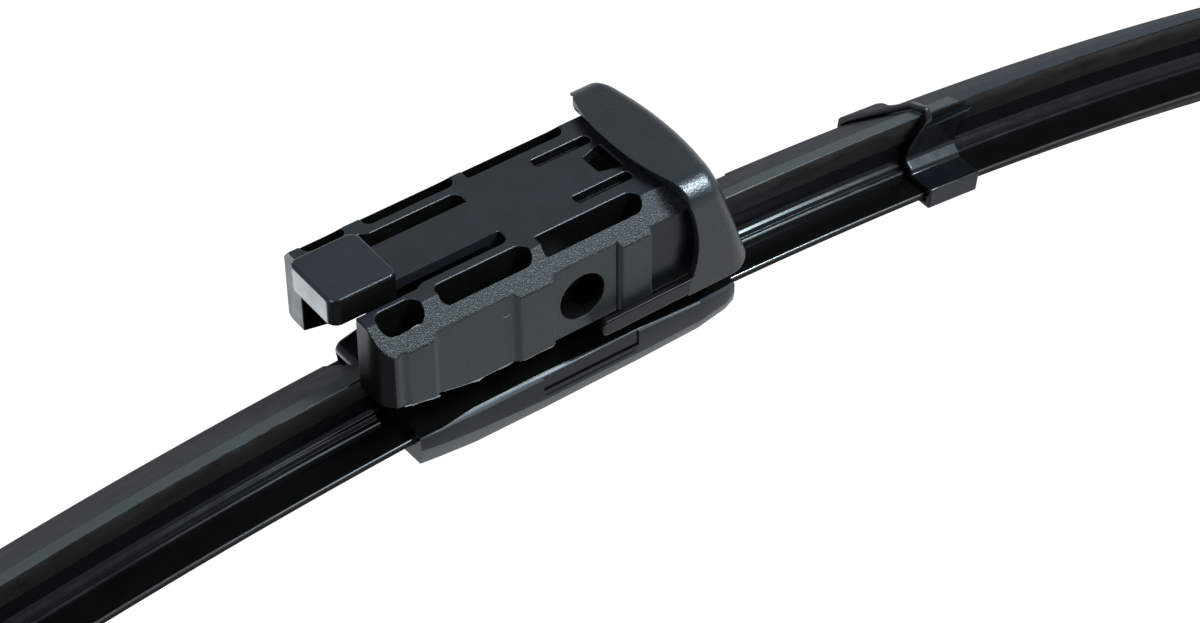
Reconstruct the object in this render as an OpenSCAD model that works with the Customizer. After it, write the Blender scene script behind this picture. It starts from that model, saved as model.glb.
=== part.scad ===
// Flat wiper blade with a push-button adapter.
// X runs along the blade, the button end is at -X and the shroud end at +X.
// -Y is the side with the hollow face of the spoiler, and +Z points away from the glass.
// The origin is on the adapter's flat top, straight above the pivot. Millimetres.

/* [Adapter body] */
// Left end of the adapter, measured from the pivot
adapter_left = 25.3; // [22:0.1:30]
// Right end of the adapter under the shroud, from the pivot
adapter_right = 15.5; // [14:0.1:18]
// Half width of the flat top between its two sloped shoulders
flat_half = 7.3; // [6.6:0.1:8]
// Half width over the plain side walls
wall_half = 9.6; // [9:0.1:11]
// How far the raised bands stand out of the side walls
band_proud = 0.5; // [0.2:0.05:0.7]
// Height that the shoulders fall from the flat top to the side walls
shoulder_drop = 2.56; // [1.5:0.05:3.5]
// Thickness of the top plate and of the tongue in it
plate_t = 1.4; // [1:0.05:2]
// Depth of the side walls below the flat top
wall_depth = 12; // [11.2:0.1:13]
// Depth of the side walls at the left end, where they rise clear of the blade
wall_depth_left = 9.6; // [8:0.1:11]
// Thickness of the inner walls that hold the pivot pin
inner_wall_t = 1.15; // [0.8:0.05:1.3]
// Thickness of the outer walls beside the pockets
outer_wall_t = 1.3; // [1:0.05:1.6]
// Thickness of the floor under the pockets
pocket_floor_t = 1.2; // [0.8:0.1:2]
// Radius of the round hole in each outer wall
side_hole_r = 2.85; // [2.6:0.05:3.2]

/* [Release tongue] */
// Half width of the tongue
tongue_half = 2.94; // [2.5:0.02:3.4]
// Place of the flexing root, from the pivot towards the button
tongue_root = 6.8; // [6.4:0.1:7.5]
// Half width of the square button
button_half = 4.15; // [3.8:0.05:4.6]
// Length of the button
button_len = 8.2; // [7:0.1:9]
// Height of the button above the flat top
button_rise = 2.1; // [1.5:0.1:2.6]
// How far the button reaches past the left end of the adapter
button_reach = 2; // [1:0.1:3]

/* [Shroud] */
// Gap between the adapter's raised bands and the shroud's side cheeks
cheek_gap = 0.3; // [0.3:0.05:0.8]
// Thickness of the shroud's side cheeks
cheek_t = 0.9; // [0.7:0.05:1.2]
// Room for the arm's sheet between the flat top and the shroud's roof
arm_room = 0.6; // [0.5:0.05:1.2]
// Distance of the middle of the shroud's rim from the pivot
shroud_front = 10.7; // [10.2:0.1:11.2]
// Length of the shroud's roof
roof_len = 6.7; // [6:0.1:7.5]
// Thickness of the shroud's roof
roof_t = 0.9; // [0.7:0.05:1.2]
// Depth of the cheeks below the flat top
cheek_depth = 13.4; // [12.8:0.1:14]
// Radius of the shroud's long shoulders
shroud_round = 4.3; // [2.5:0.1:4.6]
// Length of the guide rail that runs forward from each cheek
guide_len = 11; // [6:0.5:14]
// Height of the guide rails
guide_h = 1.7; // [1.2:0.1:2.2]

/* [Pivot] */
// Depth of the pivot axis below the flat top
pivot_drop = 7.6; // [7.2:0.05:8]
// Radius of the pivot pin
pin_r = 2.5; // [2:0.05:2.6]
// Radial running clearance of the pin in the adapter
pin_play = 0.05; // [0.02:0.01:0.1]

/* [Base] */
// Left end of the base's side flanges, from the pivot
base_left = 20.5; // [19:0.1:21.5]
// Right end of the base's side flanges, from the pivot
base_right = 21.8; // [20:0.1:22]
// Thickness of the flanges beside the rails
flange_t = 1.3; // [1:0.05:1.5]
// Height of the deck's top above the rails
deck_t = 1.9; // [1.4:0.1:2.4]
// How far the flanges reach below the rails' top
flange_depth = 4.25; // [3.8:0.05:5]
// Half length of the centre block
block_len = 22; // [21:0.1:24]
// Half width of the centre block
block_half = 4.5; // [4:0.05:4.6]
// Height of the centre block above the pivot axis
block_rise = 3.6; // [3.3:0.1:4]

/* [Blade] */
// Length of the blade measured along its curve, over the end caps
blade_len = 450; // [300:10:600]
// Radius of the blade's curve when it is free
curve_r = 500; // [450:10:900]
// Depth of the rails' top below the flat top at the middle
rail_drop = 17.7; // [17.4:0.1:18.5]
// Half width over the two rails
rail_half = 7.5; // [7:0.1:8]
// Thickness of the spring steel rails
rail_t = 0.9; // [0.6:0.05:1.1]
// Half of the gap between the two rails
rail_gap = 1.3; // [1.1:0.05:1.6]
// Height of the spoiler's lip above the rails
spoiler_h = 9.3; // [7.5:0.1:10]
// Length of far foot that is trimmed off the right spoiler beside the shroud
foot_trim = 10.2; // [6:0.1:14]
// Depth of the wiping edge below the rails' top
wiper_depth = 8.2; // [7.5:0.1:10]

/* [Clip and end caps] */
// Length of spoiler between the centre block and the clip
clip_offset = 28.35; // [15:0.05:60]
// Length of the clip
clip_len = 7.5; // [6:0.1:10]
// Wall of the clip
clip_t = 0.8; // [0.6:0.05:1.1]
// Length of an end cap
cap_len = 14; // [10:0.5:18]
// Wall of an end cap
cap_t = 1.1; // [0.8:0.05:1.4]

/* [Hidden] */
$fn = 48;

// Clearances between pieces
seat_gap = 0.1;
slide_gap = 0.3;
root_gap = 0.3;
bore_gap = 0.02;
eps = 0.01;

// Fine facets for the long gentle curves
arc_fn = 360;

// Half widths that follow from the pieces inside
base_half = rail_half + seat_gap + flange_t;
deck_half = base_half - 0.9;
cheek_inside = wall_half + band_proud + cheek_gap;
shroud_half = cheek_inside + cheek_t;

// Rubber: its head sits over the rails and its neck hangs between them
head_half = rail_gap + 0.7;
neck_half = rail_gap - seat_gap;
head_t = 0.85;
tunnel_half = head_half + 2 * seat_gap;

// Levels
shroud_rise = arm_room + roof_t;
pivot_z = -pivot_drop;
plate_under = -plate_t;
rail_z = -rail_drop;
deck_z = rail_z + deck_t;

// Inside of the adapter, from the centre outwards
channel_half = block_half + slide_gap;
pocket_in = channel_half + inner_wall_t;
pocket_out = wall_half - outer_wall_t;
slot_end_r = (channel_half - tongue_half) / 2;
button_bay_half = pocket_in - 0.65;

// Pockets in each side wall as [left, right, radius at the left, radius at the right, extra width]
pockets = [[-24, -18.7, 1.2, 1.1, 0.3], [-16.5, -5, 0.8, 1.2, 0], [-3.55, 9.25, 0.3, 1.1, 0]];
// Raised bands on the side walls as [left, right]
bands = [[-24.7, -19], [-8.6, -3.9], [4.6, 8.85]];
// Where the underside of the walls starts to rise to the left
rise_from = -14;

// Two narrow slots in the top plate near the shroud
vent_x = [3.3, 10.7];
vent_y = [3.06, 4.4];
// Latch window in the top plate
latch_x = [8.15, 10.2, 11];
latch_half = [1.4, 2.05];

button_left = -adapter_left - button_reach;
button_right = button_left + button_len;
button_under = plate_under + 0.1;
knuckle_r = plate_t / 2;

// Mirrors its children to both sides
module both_sides() {
    for (side = [-1, 1])
        scale([1, side, 1])
            children();
}

// Extrudes an outline drawn in X and Z through a width along Y
module across(y0, y1) {
    translate([0, y1, 0])
        rotate([90, 0, 0])
            linear_extrude(y1 - y0)
                children();
}

// Extrudes an outline drawn in Y and Z along X
module along(x0, x1) {
    translate([x0, 0, 0])
        rotate([90, 0, 90])
            linear_extrude(x1 - x0)
                children();
}

// A box given by its lowest and highest corners
module block(low, high) {
    translate(low)
        cube(high - low);
}

// An upright prism with its own corner radius at each end
module slot_prism(x0, x1, y0, y1, r0, r1, z0, z1) {
    translate([0, 0, z0])
        linear_extrude(z1 - z0)
            union() {
                translate([x0, y0 + r0])
                    square([x1 - x0, y1 - y0 - 2 * r0]);
                translate([x0 + r0, y0])
                    square([x1 - x0 - r0 - r1, y1 - y0]);
                translate([x1 - r1 - eps, y0 + r1])
                    square([r1 + eps, y1 - y0 - 2 * r1]);
                for (c = [[x0 + r0, y0 + r0, r0], [x0 + r0, y1 - r0, r0],
                          [x1 - r1, y0 + r1, r1], [x1 - r1, y1 - r1, r1]])
                    translate([c[0], c[1]])
                        circle(c[2], $fn = 32);
            }
}

// Outline of one side wall in plan, with its raised bands and worn left corner
function wall_plan() = let (o = wall_half, p = wall_half + band_proud, l = -adapter_left) concat(
    [[l, 0], [l, flat_half + 0.2], [l + 0.35, o - 0.6], [l + 0.8, p - 0.15], [l + 1.4, p]],
    [[-23.6, p], [-23.2, p - 0.25], [-22.4, p - 0.2], [-22, p]],
    [[bands[0][1], p], [bands[0][1] + 0.5, o]],
    [[bands[1][0] - 0.5, o], [bands[1][0], p], [bands[1][1], p], [bands[1][1], o]],
    [[bands[2][0] - 0.1, o], [bands[2][0], o - 0.2], [bands[2][0] + 0.1, p], [bands[2][1], p]],
    [[bands[2][1], o], [adapter_right, o], [adapter_right, 0]]
);

// Underside of the walls in side view, straight and then rising to the left
module wall_side_view() {
    polygon([
        [-adapter_left - 1, 1], [adapter_right + 1, 1], [adapter_right + 1, -wall_depth],
        [rise_from, -wall_depth], [-adapter_left, -wall_depth_left], [-adapter_left - 1, -wall_depth_left]
    ]);
}

// Half of the adapter's cross section: flat top, sloped shoulder and straight wall
module shoulder_section() {
    slope = shoulder_drop / (wall_half - flat_half);
    far = wall_half + 1.5;
    polygon([
        [-flat_half, 0], [flat_half, 0], [far, -slope * (far - flat_half)], [far, -20],
        [-far, -20], [-far, -slope * (far - flat_half)]
    ]);
}

// Hole for the tongue and the button, cut through the top plate
module tongue_window() {
    root = -tongue_root;
    translate([0, 0, plate_under - 1])
        linear_extrude(plate_t + 2)
            union() {
                for (side = [-1, 1])
                    translate([root, side * (tongue_half + slot_end_r)])
                        circle(slot_end_r);
                translate([-adapter_left - 1, -channel_half])
                    square([adapter_left + 1 + root, 2 * channel_half]);
                translate([root - 1, -tongue_half])
                    square([1 + knuckle_r + root_gap, 2 * tongue_half]);
                polygon([
                    [-adapter_left - 1, -button_bay_half], [-17.8, -button_bay_half],
                    [-16.6, -channel_half], [-16.6, channel_half],
                    [-17.8, button_bay_half], [-adapter_left - 1, button_bay_half]
                ]);
            }
}

module adapter_body() {
    color([0.18, 0.2, 0.21])
        difference() {
            intersection() {
                both_sides()
                    translate([0, 0, -wall_depth - 1])
                        linear_extrude(wall_depth + 2)
                            polygon(wall_plan());
                along(-adapter_left - 1, adapter_right + 1)
                    shoulder_section();
                across(-wall_half - 2, wall_half + 2)
                    wall_side_view();
            }
            // channel that the base's centre block stands in
            block([-adapter_left - 1, -channel_half, -wall_depth - 1],
                  [adapter_right - 1.3, channel_half, plate_under]);
            block([-adapter_left - 1, -button_bay_half, -wall_depth - 1],
                  [-17.8, button_bay_half, plate_under]);
            block([adapter_right - 2, -channel_half, -wall_depth - 1],
                  [adapter_right + 1, channel_half, pivot_z + block_rise]);
            tongue_window();
            both_sides() {
                for (p = pockets)
                    slot_prism(p[0], p[1], pocket_in, pocket_out + p[4], p[2], p[3],
                               -wall_depth + pocket_floor_t + (p[0] < rise_from ? 1.8 : 0), 1);
                slot_prism(vent_x[0], vent_x[1], vent_y[0], vent_y[1], 0.3, 0.6, plate_under - 1, 1);
            }
            translate([0, 0, plate_under - 1])
                linear_extrude(plate_t + 2)
                    polygon([
                        [latch_x[0], -latch_half[0]], [latch_x[0], latch_half[0]],
                        [latch_x[1], latch_half[1]], [latch_x[2], latch_half[1]],
                        [latch_x[2], -latch_half[1]], [latch_x[1], -latch_half[1]]
                    ]);
            // pivot bore through the inner walls and the wider holes outside
            translate([0, pocket_in + 0.5, pivot_z])
                rotate([90, 0, 0])
                    cylinder(h = 2 * pocket_in + 1, r = pin_r + pin_play);
            both_sides()
                translate([0, wall_half + 1, pivot_z])
                    rotate([90, 0, 0])
                        cylinder(h = wall_half + 1 - pocket_out + 0.5, r = side_hole_r);
        }
}

module release_tongue() {
    color([0.18, 0.2, 0.21])
        union() {
            block([button_right - 1, -tongue_half, plate_under], [-tongue_root, tongue_half, 0]);
            translate([-tongue_root, tongue_half, -knuckle_r])
                rotate([90, 0, 0])
                    cylinder(h = 2 * tongue_half, r = knuckle_r);
            intersection() {
                translate([0, 0, button_under])
                    linear_extrude(button_rise - button_under)
                        button_plan();
                across(-button_half - 1, button_half + 1)
                    bevelled_view(button_left, button_right);
                along(button_left - 1, button_right + 1)
                    bevelled_view(-button_half, button_half);
            }
        }
}

// Plan of the button with three round corners
module button_plan() {
    r = 0.9;
    union() {
        for (c = [[button_left + r, -button_half + r], [button_left + r, button_half - r],
                  [button_right - r, button_half - r]])
            translate(c)
                circle(r, $fn = 32);
        translate([button_left + r, -button_half])
            square([button_len - 2 * r, 2 * button_half]);
        translate([button_left, -button_half + r])
            square([button_len, 2 * button_half - 2 * r]);
        translate([button_right - r - eps, -button_half])
            square([r + eps, r + eps]);
    }
}

// Side view of the button between two ends, bevelled along its top edges
module bevelled_view(from, to) {
    bevel = 0.25;
    polygon([
        [from, button_under], [from, button_rise - bevel], [from + bevel, button_rise],
        [to - bevel, button_rise], [to, button_rise - bevel], [to, button_under]
    ]);
}

// Side view of the shroud: bowed rim in front, leaning back, guide rail below
module shroud_side_view() {
    top = shroud_rise;
    f = shroud_front;
    b = shroud_front + roof_len;
    low = -cheek_depth;
    tip = f + 1.8 - guide_len;
    polygon([
        [f, top], [b, top], [b + 0.8, top - 0.6], [b + 1.4, -0.3], [b + 3, 0.26 * low],
        [b + 4.8, 0.67 * low], [b + 4.8, 0.82 * low], [b + 4.3, 0.93 * low], [b + 3.6, low + 0.2],
        [b + 3, low], [tip + 0.5, low + 0.2], [tip, low + 0.6], [tip, low + guide_h - 0.2],
        [tip + 0.4, low + guide_h + 0.1], [f + 2, low + guide_h + 0.2], [f + 2.8, 0.81 * low],
        [f + 3.3, 0.69 * low], [f + 3.45, 0.57 * low], [f + 3.4, 0.43 * low], [f + 2.9, 0.27 * low],
        [f + 2.1, 0.12 * low], [f + 1, 0.4]
    ]);
}

// Front view of the shroud with round shoulders
module shroud_front_view(half, top, r) {
    low = -cheek_depth - 1;
    union() {
        translate([-half, low])
            square([2 * half, top - r - low]);
        translate([-half + r, low])
            square([2 * (half - r), top - low]);
        for (side = [-1, 1])
            translate([side * (half - r), top - r])
                circle(r);
    }
}

// Roof rim bowed in plan, a little further forward at the middle
function rim_bow(half) = [for (i = [-8 : 8]) let (y = i * half / 8) [shroud_front + 0.2 + 0.0165 * y * y, y]];

module end_shroud() {
    inside = cheek_inside;
    back_r = 4 * shroud_half;
    low = -cheek_depth - 1;
    color([0.22, 0.24, 0.25])
        difference() {
            intersection() {
                across(-shroud_half, shroud_half)
                    shroud_side_view();
                along(0, 2 * adapter_right)
                    shroud_front_view(shroud_half, shroud_rise, shroud_round);
                // back face bowed in plan and leaning out towards the blade
                translate([shroud_front + roof_len + 1.4, 0, 0])
                    rotate([0, -19.5, 0])
                        translate([-back_r, 0, -2 * cheek_depth])
                            cylinder(h = 4 * cheek_depth, r = back_r, $fn = arc_fn);
            }
            // room for the arm over the plate and beside the walls
            along(0, adapter_right)
                shroud_front_view(inside, shroud_rise - roof_t, shroud_round - cheek_t);
            // open below the back wall
            block([adapter_right - 1, -inside, low], [2 * adapter_right, inside, pivot_z + 2.4]);
            // bowed rim
            translate([0, 0, -roof_t])
                linear_extrude(shroud_rise + 2 * roof_t)
                    polygon(concat([[0, -shroud_half - 1]], rim_bow(shroud_half - 1), [[0, shroud_half + 1]]));
        }
}

module pivot_pin() {
    color([0.12, 0.12, 0.13])
        translate([0, pocket_in, pivot_z])
            rotate([90, 0, 0])
                union() {
                    translate([0, 0, 0.3])
                        cylinder(h = 2 * pocket_in - 0.6, r = pin_r);
                    cylinder(h = 0.3, r1 = pin_r - 0.3, r2 = pin_r);
                    translate([0, 0, 2 * pocket_in - 0.3])
                        cylinder(h = 0.3, r1 = pin_r, r2 = pin_r - 0.3);
                }
}

// Sweeps an outline drawn in Y and height over the rails round the blade's curve
module sweep(from, to) {
    a0 = from / curve_r * 180 / PI;
    a1 = to / curve_r * 180 / PI;
    translate([0, 0, rail_z - curve_r])
        rotate([90, 0, 0])
            rotate([0, 0, 90 - a1])
                rotate_extrude(angle = a1 - a0, $fn = arc_fn)
                    translate([curve_r, 0])
                        rotate([0, 0, -90])
                            children();
}

// Side view of the base's flanges, chamfered below at both ends
module flange_side_view() {
    top = rail_z + 0.5;
    low = rail_z - flange_depth;
    polygon([
        [-base_left, top + 0.3], [-14.3, top], [base_right, top - 0.2], [base_right, low + 2.1],
        [13.7, low], [-14.5, low], [-base_left, low + 1.1]
    ]);
}

// Side view of the centre block that carries the pivot
module block_side_view() {
    low = rail_z - 1;
    top = pivot_z + block_rise;
    end = -12.1;
    polygon([
        [-block_len, low], [-block_len, end - 0.9], [-block_len + 0.8, end], [-9.5, -9],
        [-5, top - 0.7], [-3.2, top], [3.2, top], [5, top - 0.7], [9.5, -9],
        [block_len - 0.8, end], [block_len, end - 0.9], [block_len, low]
    ]);
}

// Cross section of the deck and the flanges
module deck_section() {
    low = rail_z - flange_depth;
    polygon([
        [-base_half, rail_z + 0.7], [-deck_half, deck_z], [deck_half, deck_z],
        [base_half, rail_z + 0.7], [base_half, low + 1.5], [base_half - 0.6, low],
        [-base_half + 0.6, low], [-base_half, low + 1.5]
    ]);
}

module base_bridge() {
    color([0.14, 0.15, 0.16])
        difference() {
            union() {
                intersection() {
                    along(-base_left, base_right)
                        deck_section();
                    union() {
                        across(-base_half, base_half)
                            flange_side_view();
                        block([-base_left, -deck_half, rail_z], [base_right, deck_half, deck_z]);
                        along(-base_left + 0.6, base_right - 0.6)
                            deck_section();
                    }
                    across(-base_half, base_half)
                        polygon([
                            [-base_left, deck_z], [base_right, deck_z],
                            [base_right, rail_z - flange_depth + 2.1], [13.7, rail_z - flange_depth],
                            [-14.5, rail_z - flange_depth], [-base_left, rail_z - flange_depth + 1.1]
                        ]);
                }
                across(-block_half, block_half)
                    block_side_view();
            }
            // seat of the rails, and the slot below that the rubber passes through
            sweep(-block_len - 2, block_len + 2)
                union() {
                    translate([-rail_half - seat_gap, -rail_t - seat_gap / 2])
                        square([2 * (rail_half + seat_gap), rail_t + seat_gap]);
                    translate([-tunnel_half, -rail_t])
                        square([2 * tunnel_half, rail_t + head_t + seat_gap]);
                    translate([-5, -flange_depth - 2])
                        square([10, flange_depth + 2 - rail_t / 2]);
                }
            translate([0, block_half + 1, pivot_z])
                rotate([90, 0, 0])
                    cylinder(h = 2 * block_half + 2, r = pin_r + bore_gap);
            // long recess in each flange
            both_sides()
                block([-4.7, base_half - 0.3, rail_z - 2.25], [8.2, base_half + 1, rail_z - 0.9]);
        }
}

module rail(side) {
    color([0.03, 0.03, 0.035])
        sweep(-blade_len / 2 + cap_t + seat_gap, blade_len / 2 - cap_t - seat_gap)
            translate([side > 0 ? rail_gap : -rail_half, -rail_t])
                square([rail_half - rail_gap, rail_t]);
}

module rail_near() {
    rail(-1);
}

module rail_far() {
    rail(1);
}

// Cross section of the spoiler: beaded foot, hollow face, leaning lip and long back slope
module spoiler_section() {
    h = spoiler_h;
    foot_far = rail_half - 0.3;
    difference() {
        polygon([
            [-3.94, 0], [-3.94, 0.5], [-3.7, 0.8], [-3.4, 0.72], [-3.22, 0.5], [-3.06, 1],
            [-2.8, 1.22], [-2.58, 1.6], [-2.5, 2.3], [-2.62, 3.2], [-2.9, 4.3], [-3.35, 5.6],
            [-3.92, h - 2.4], [-4.5, h - 1.1], [-4.86, h - 0.35], [-4.8, h], [-3, h - 0.55],
            [foot_far, 0.45], [foot_far, 0]
        ]);
        translate([-tunnel_half, -1])
            square([2 * tunnel_half, 1 + head_t + seat_gap]);
    }
}

module spoiler_left() {
    color([0.19, 0.21, 0.22])
        sweep(-blade_len / 2 + cap_t + seat_gap, -block_len - slide_gap)
            spoiler_section();
}

module spoiler_right() {
    start = block_len + slide_gap;
    color([0.19, 0.21, 0.22])
        difference() {
            sweep(start, blade_len / 2 - cap_t - seat_gap)
                spoiler_section();
            // far foot trimmed back beside the shroud
            block([start - 1, rail_half - 1.5, rail_z - 5], [start + foot_trim, rail_half + 2, rail_z + 3]);
        }
}

// Right half of the rubber's cross section: head, neck, lower head, hinge, wings and wiping lip
function wiper_half() = let (u = -rail_t - seat_gap / 2, d = wiper_depth, w = neck_half / 2) [
    [head_half, seat_gap / 2], [neck_half, seat_gap / 2], [neck_half, u], [3.3 * neck_half, u],
    [3.3 * neck_half, u - 0.08 * d], [2.9 * neck_half, u - 0.15 * d], [w, u - 0.17 * d],
    [w, u - 0.28 * d], [2.1 * neck_half, u - 0.35 * d], [2.1 * neck_half, u - 0.43 * d],
    [neck_half, u - 0.49 * d], [0.75 * w, -0.85 * d], [0.65 * w, -d]
];

// Cross section of the rubber
module wiper_section() {
    half = wiper_half();
    crown = [[head_half - 0.3, head_t], [head_half, head_t - 0.1]];
    polygon(concat(
        crown, half, [for (i = [len(half) - 1 : -1 : 0]) [-half[i][0], half[i][1]]],
        [[-crown[1][0], crown[1][1]], [-crown[0][0], crown[0][1]]]
    ));
}

module wiper_rubber() {
    color([0.05, 0.05, 0.055])
        sweep(-blade_len / 2 + cap_t + seat_gap, blade_len / 2 - cap_t - seat_gap)
            wiper_section();
}

// Outline round the blade that the clip and the end caps follow, from claw to claw
function grip_path() = let (h = spoiler_h, g = seat_gap, w = rail_half + seat_gap, u = -rail_t - seat_gap) [
    [-5, u], [-w, u], [-w, g], [-4.3, g], [-4.05, 0.9], [-3.1, 1.5], [-2.75, 2.4], [-3.1, 4.2],
    [-4, h - 2.6], [-4.75, h - 1], [-5.02, h - 0.2], [-4.8, h + 0.2], [-2.95, h - 0.38],
    [rail_half - 0.2, 0.6], [w, 0.3], [w, u], [5, u]
];

// Unit normal on the outer side of the stretch from a to b
function outer_normal(a, b) = let (d = b - a, n = norm(d)) [-d[1] / n, d[0] / n];

// A path moved outwards by a distance, with mitred corners
function moved_path(p, t) = [
    for (i = [0 : len(p) - 1])
        let (
            n0 = outer_normal(p[max(i - 1, 0)], p[max(i, 1)]),
            n1 = outer_normal(p[min(i, len(p) - 2)], p[min(i + 1, len(p) - 1)]),
            m = (n0 + n1) / max(1 + n0 * n1, 0.35)
        )
        p[i] + t * m
];

function reversed(p) = [for (i = [len(p) - 1 : -1 : 0]) p[i]];

// Band of a given wall round the blade
module grip_section(t) {
    polygon(concat(grip_path(), reversed(moved_path(grip_path(), t))));
}

// Closed outline of the blade with its wall, for the end of an end cap
module closed_section(t) {
    polygon(moved_path(grip_path(), t));
}

module spoiler_clip() {
    at = block_len + clip_offset;
    color([0.1, 0.11, 0.12])
        sweep(at, at + clip_len)
            grip_section(clip_t);
}

module end_cap(side) {
    end = blade_len / 2;
    color([0.1, 0.11, 0.12])
        union() {
            sweep(side > 0 ? end - cap_len : -end, side > 0 ? end : -end + cap_len)
                grip_section(cap_t);
            sweep(side > 0 ? end - cap_t : -end, side > 0 ? end : -end + cap_t)
                closed_section(cap_t);
        }
}

module end_cap_left() {
    end_cap(-1);
}

module end_cap_right() {
    end_cap(1);
}

adapter_body();
release_tongue();
end_shroud();
pivot_pin();
base_bridge();
rail_near();
rail_far();
spoiler_left();
spoiler_right();
wiper_rubber();
spoiler_clip();
end_cap_left();
end_cap_right();
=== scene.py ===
# %% [markdown]
# # A flat wiper blade, dressed in Blender
# The imported model is the fixed frame: its bodies move, and every piece made here rides on one of them,
# except the tongue.
# The blade is built from two kinds of shape. The moulded clip-on parts are solids cut from prisms,
# and everything along the blade is one cross section swept round a long arc.

# %% Load the frame
import bmesh
import bpy
import math
from mathutils import Matrix, Vector, noise


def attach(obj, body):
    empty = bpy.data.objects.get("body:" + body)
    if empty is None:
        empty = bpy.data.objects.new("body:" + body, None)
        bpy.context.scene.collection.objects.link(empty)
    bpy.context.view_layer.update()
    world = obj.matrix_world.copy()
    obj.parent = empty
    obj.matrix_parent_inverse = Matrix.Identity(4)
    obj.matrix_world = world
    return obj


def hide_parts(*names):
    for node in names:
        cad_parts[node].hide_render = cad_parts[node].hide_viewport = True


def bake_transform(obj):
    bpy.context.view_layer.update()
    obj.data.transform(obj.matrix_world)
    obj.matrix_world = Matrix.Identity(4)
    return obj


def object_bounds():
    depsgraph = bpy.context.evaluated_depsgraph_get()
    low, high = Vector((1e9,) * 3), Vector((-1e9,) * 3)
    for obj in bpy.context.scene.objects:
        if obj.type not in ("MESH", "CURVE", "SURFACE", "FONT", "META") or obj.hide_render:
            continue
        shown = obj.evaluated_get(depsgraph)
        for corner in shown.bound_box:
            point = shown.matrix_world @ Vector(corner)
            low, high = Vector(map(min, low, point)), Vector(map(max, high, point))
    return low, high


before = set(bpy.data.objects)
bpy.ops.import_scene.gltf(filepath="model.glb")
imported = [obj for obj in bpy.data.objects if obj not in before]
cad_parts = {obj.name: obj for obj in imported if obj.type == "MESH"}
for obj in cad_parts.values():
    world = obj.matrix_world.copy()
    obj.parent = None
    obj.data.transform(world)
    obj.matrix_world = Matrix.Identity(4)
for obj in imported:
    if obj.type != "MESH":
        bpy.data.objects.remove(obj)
cad_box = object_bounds()
MM = 0.001

# %% [markdown]
# The camera stands where the photograph was taken from. Its axes come from a fit to the adapter's
# straight edges, and the long lens keeps the blade's far end almost as large as the near one.

# %% Camera
RIGHT = Vector((0.80308, -0.59588, -0.0029))
UP = Vector((0.40288, 0.53938, 0.73943))
BACK = Vector((-0.43904, -0.59499, 0.67322))
CAMERA_PLACE = Vector((-151.52, -217.99, 224.84)) * MM
camera_data = bpy.data.cameras.new("camera")
camera_data.sensor_width = 36.0
camera_data.lens = 99.0
camera_data.clip_start = 0.01
camera = bpy.data.objects.new("camera", camera_data)
camera.matrix_world = Matrix.Translation(CAMERA_PLACE) @ Matrix((RIGHT, UP, BACK)).transposed().to_4x4()
bpy.context.scene.collection.objects.link(camera)
bpy.context.scene.camera = camera
print("camera at", tuple(round(c, 3) for c in camera.location))

# %% [markdown]
# A moulded part is mostly flat walls and round-cornered pockets, so it is drawn as outlines. They
# could be curve objects, but plain points with a radius at each corner are easier to measure and to
# change. Work is in millimetres, and only the finished mesh is scaled to metres.

# %% Rounded outlines
TINY = 1e-6
NEARLY_HALF = 0.499
NEARLY_STRAIGHT = math.radians(88)


def rounded(corners, steps=8):
    """An outline through (a, b, radius) corners, with an arc at each corner that has a radius."""
    out, n = [], len(corners)
    for i, corner in enumerate(corners):
        here = Vector(corner[:2])
        radius = corner[2] if len(corner) > 2 else 0
        before = Vector(corners[i - 1][:2]) - here
        after = Vector(corners[(i + 1) % n][:2]) - here
        if radius <= 0 or before.length < TINY or after.length < TINY:
            out.append(here)
            continue
        u, v = before.normalized(), after.normalized()
        half = math.acos(max(-1, min(1, u.dot(v)))) / 2
        if half > NEARLY_STRAIGHT:
            out.append(here)
            continue
        reach = min(radius / math.tan(half), before.length * NEARLY_HALF, after.length * NEARLY_HALF)
        r = reach * math.tan(half)
        centre = here + (u + v).normalized() * (r / math.sin(half))
        start, end = here + u * reach - centre, here + v * reach - centre
        turn = start.angle_signed(end, 0)
        count = max(2, int(steps * abs(turn) / (math.pi / 2) + 0.5))
        for k in range(count + 1):
            a = -turn * k / count
            out.append(centre + Vector((start.x * math.cos(a) - start.y * math.sin(a),
                                        start.x * math.sin(a) + start.y * math.cos(a))))
    return [(p.x, p.y) for p in out]


def circle(a, b, r, count=64):
    return [(a + r * math.cos(2 * math.pi * k / count), b + r * math.sin(2 * math.pi * k / count))
            for k in range(count)]


square = rounded([(0, 0, 1), (4, 0, 1), (4, 4, 1), (0, 4, 1)])
print("a rounded square has", len(square), "points")

# %% [markdown]
# Outlines become solids in two ways. `loft` puts a skin over a row of rings, for shapes that change
# along their length. `prism` is the shortest loft: one outline, pushed along an axis.

# %% Lofts and prisms
WELD = 1e-5


def loft(name, rings, ends_last=False):
    """A skin over rings with the same number of points each, closed at both ends, facing outwards.

    ends_last changes only the order of the faces, which decides how a later cut splits them.
    """
    n, last = len(rings[0]), len(rings) - 1
    ends = [list(range(n)), [last * n + i for i in range(n)]]
    sides = [[k * n + i, k * n + (i + 1) % n, (k + 1) * n + (i + 1) % n, (k + 1) * n + i]
             for k in range(last) for i in range(n)]
    mesh = bpy.data.meshes.new(name)
    mesh.from_pydata([p for ring in rings for p in ring], [], sides + ends if ends_last else ends + sides)
    bm = bmesh.new()
    bm.from_mesh(mesh)
    bmesh.ops.remove_doubles(bm, verts=bm.verts, dist=WELD)
    bmesh.ops.recalc_face_normals(bm, faces=bm.faces)
    bm.to_mesh(mesh)
    bm.free()
    piece = bpy.data.objects.new(name, mesh)
    bpy.context.scene.collection.objects.link(piece)
    return piece


def prism(name, outline, low, high, axis="z"):
    """An outline pushed from low to high along an axis. Its points are in the other two axes' order."""
    at = "xyz".index(axis)
    return loft(name, [[(*p[:at], depth, *p[at:]) for p in outline] for depth in (low, high)])


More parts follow.
